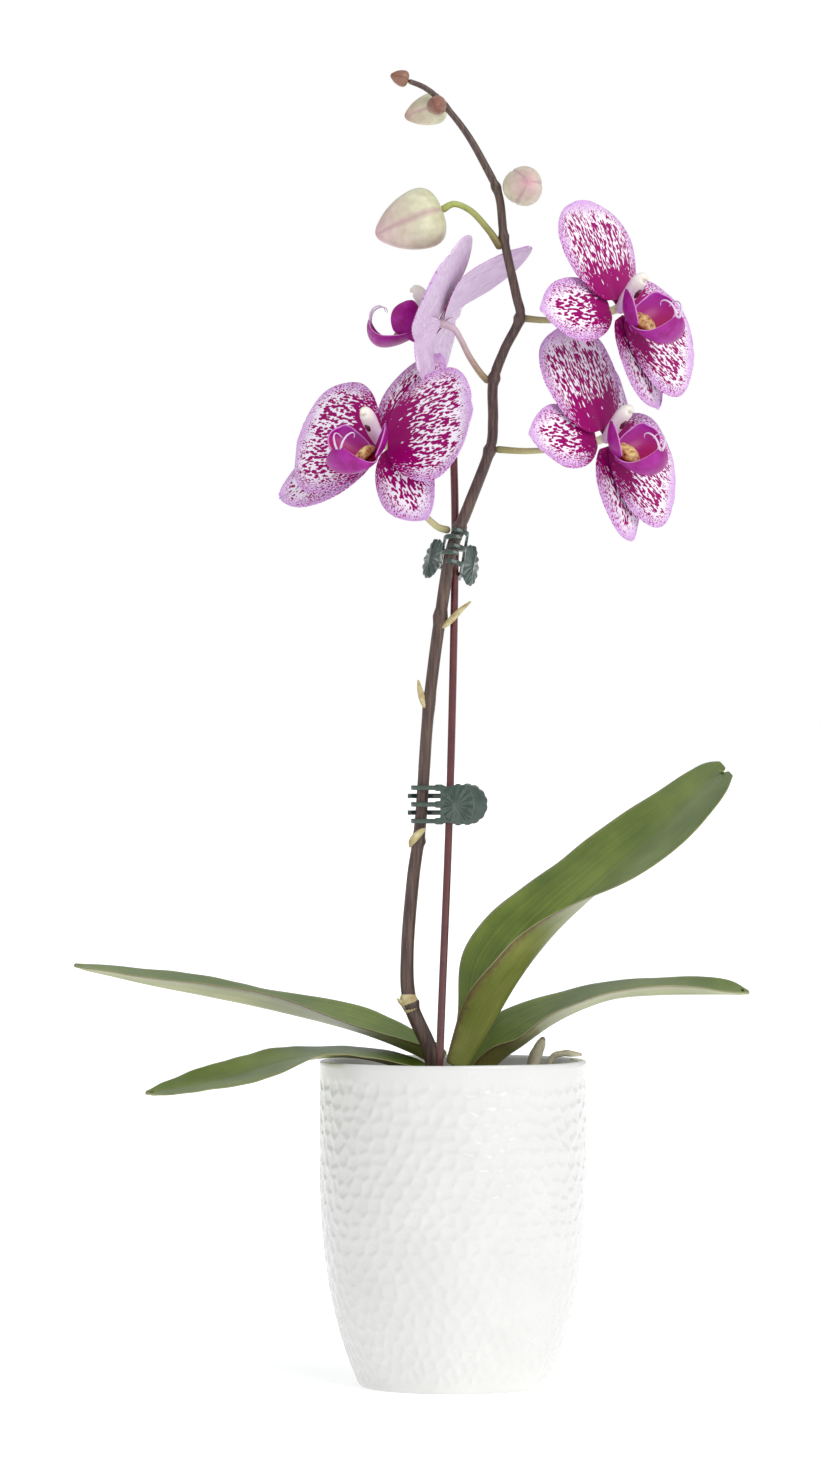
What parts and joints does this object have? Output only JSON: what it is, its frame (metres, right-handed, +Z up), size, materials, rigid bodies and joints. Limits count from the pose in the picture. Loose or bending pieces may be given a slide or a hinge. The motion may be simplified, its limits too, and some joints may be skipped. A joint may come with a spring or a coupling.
{
  "type": "potted moth orchid",
  "caption": "Moth orchid in a nursery pot inside a dimpled white cover pot, its flower spike held to a stake by sprung clips.",
  "frame": {"origin": "centre of the cover pot's foot, on the surface it stands on", "axes": "+Z up, -Y towards the front where the clips and open flowers are seen, +X to the viewer's right"},
  "size_m": [0.3403, 0.1508, 0.6543],
  "materials": {
    "white_glaze": "glossy white glaze",
    "liner_plastic": "translucent, damp",
    "bark": "rough",
    "leaf_green": "waxy leaf",
    "root_velamen": "dull silvery green",
    "spike_brown": "satin purple-brown",
    "bract_straw": "dry",
    "pedicel_green": "satin yellow-green",
    "stake_maroon": "glossy coating",
    "clip_green": "satin",
    "spring_steel": "bright wire",
    "petal_spotted": "velvety, magenta spots on pale lilac",
    "lip_magenta": "satin magenta",
    "column_white": "satin",
    "bud_cream": "satin",
    "small_bud_brown": "satin"
  },
  "bodies": {
    "plant_and_pot": {"outer_pot": "white_glaze", "nursery_pot": "liner_plastic", "bark_medium": "bark", "crown_stem": "leaf_green", "leaf_upper_left": "leaf_green", "leaf_lower_left": "leaf_green", "leaf_tall_right": "leaf_green", "leaf_low_right": "leaf_green", "aerial_root_upright": "root_velamen", "aerial_root_on_rim": "root_velamen", "flower_spike": "spike_brown", "spike_bract_lower": "bract_straw", "spike_bract_upper": "bract_straw", "support_stake": "stake_maroon", "lower_clip_three_tooth_jaw": "clip_green", "lower_clip_hinge_pin": "spring_steel", "lower_clip_spring": "spring_steel", "upper_clip_three_tooth_jaw": "clip_green", "upper_clip_hinge_pin": "spring_steel", "upper_clip_spring": "spring_steel", "lower_left_flower_left_petal": "petal_spotted", "lower_left_flower_right_petal": "petal_spotted", "lower_left_flower_dorsal_sepal": "petal_spotted", "lower_left_flower_left_sepal": "petal_spotted", "lower_left_flower_right_sepal": "petal_spotted", "lower_left_flower_lip": "lip_magenta", "lower_left_flower_column": "column_white", "upper_left_flower_left_petal": "petal_spotted", "upper_left_flower_right_petal": "petal_spotted", "upper_left_flower_dorsal_sepal": "petal_spotted", "upper_left_flower_left_sepal": "petal_spotted", "upper_left_flower_right_sepal": "petal_spotted", "upper_left_flower_lip": "lip_magenta", "upper_left_flower_column": "column_white", "upper_right_flower_left_petal": "petal_spotted", "upper_right_flower_right_petal": "petal_spotted", "upper_right_flower_dorsal_sepal": "petal_spotted", "upper_right_flower_left_sepal": "petal_spotted", "upper_right_flower_right_sepal": "petal_spotted", "upper_right_flower_lip": "lip_magenta", "upper_right_flower_column": "column_white", "lower_right_flower_left_petal": "petal_spotted", "lower_right_flower_right_petal": "petal_spotted", "lower_right_flower_dorsal_sepal": "petal_spotted", "lower_right_flower_left_sepal": "petal_spotted", "lower_right_flower_right_sepal": "petal_spotted", "lower_right_flower_lip": "lip_magenta", "lower_right_flower_column": "column_white", "lower_left_pedicel": "pedicel_green", "upper_left_pedicel": "pedicel_green", "upper_right_pedicel": "pedicel_green", "lower_right_pedicel": "pedicel_green", "large_bud_stalk": "pedicel_green", "large_bud": "bud_cream", "side_bud": "bud_cream", "upper_bud": "bud_cream", "small_bud": "small_bud_brown", "tip_bud": "small_bud_brown"},
    "lower_clip_jaw": {"lower_clip_two_tooth_jaw": "clip_green"},
    "upper_clip_jaw": {"upper_clip_two_tooth_jaw": "clip_green"}
  },
  "joints": [
    {"name": "lower_clip_hinge", "type": "hinge", "parent": "plant_and_pot", "child": "lower_clip_jaw", "pos_m": [0.0028, -0.0211, 0.291], "axis": [0, 0, -1], "range_deg": [0, 30], "stiffness_Nm_per_rad": 0.05, "springref_deg": -28.65},
    {"name": "upper_clip_hinge", "type": "hinge", "parent": "plant_and_pot", "child": "upper_clip_jaw", "pos_m": [-0.0006, -0.0048, 0.4125], "axis": [-0.1698, -0.2996, -0.9388], "range_deg": [0, 30], "stiffness_Nm_per_rad": 0.05, "springref_deg": -28.65}
  ]
}
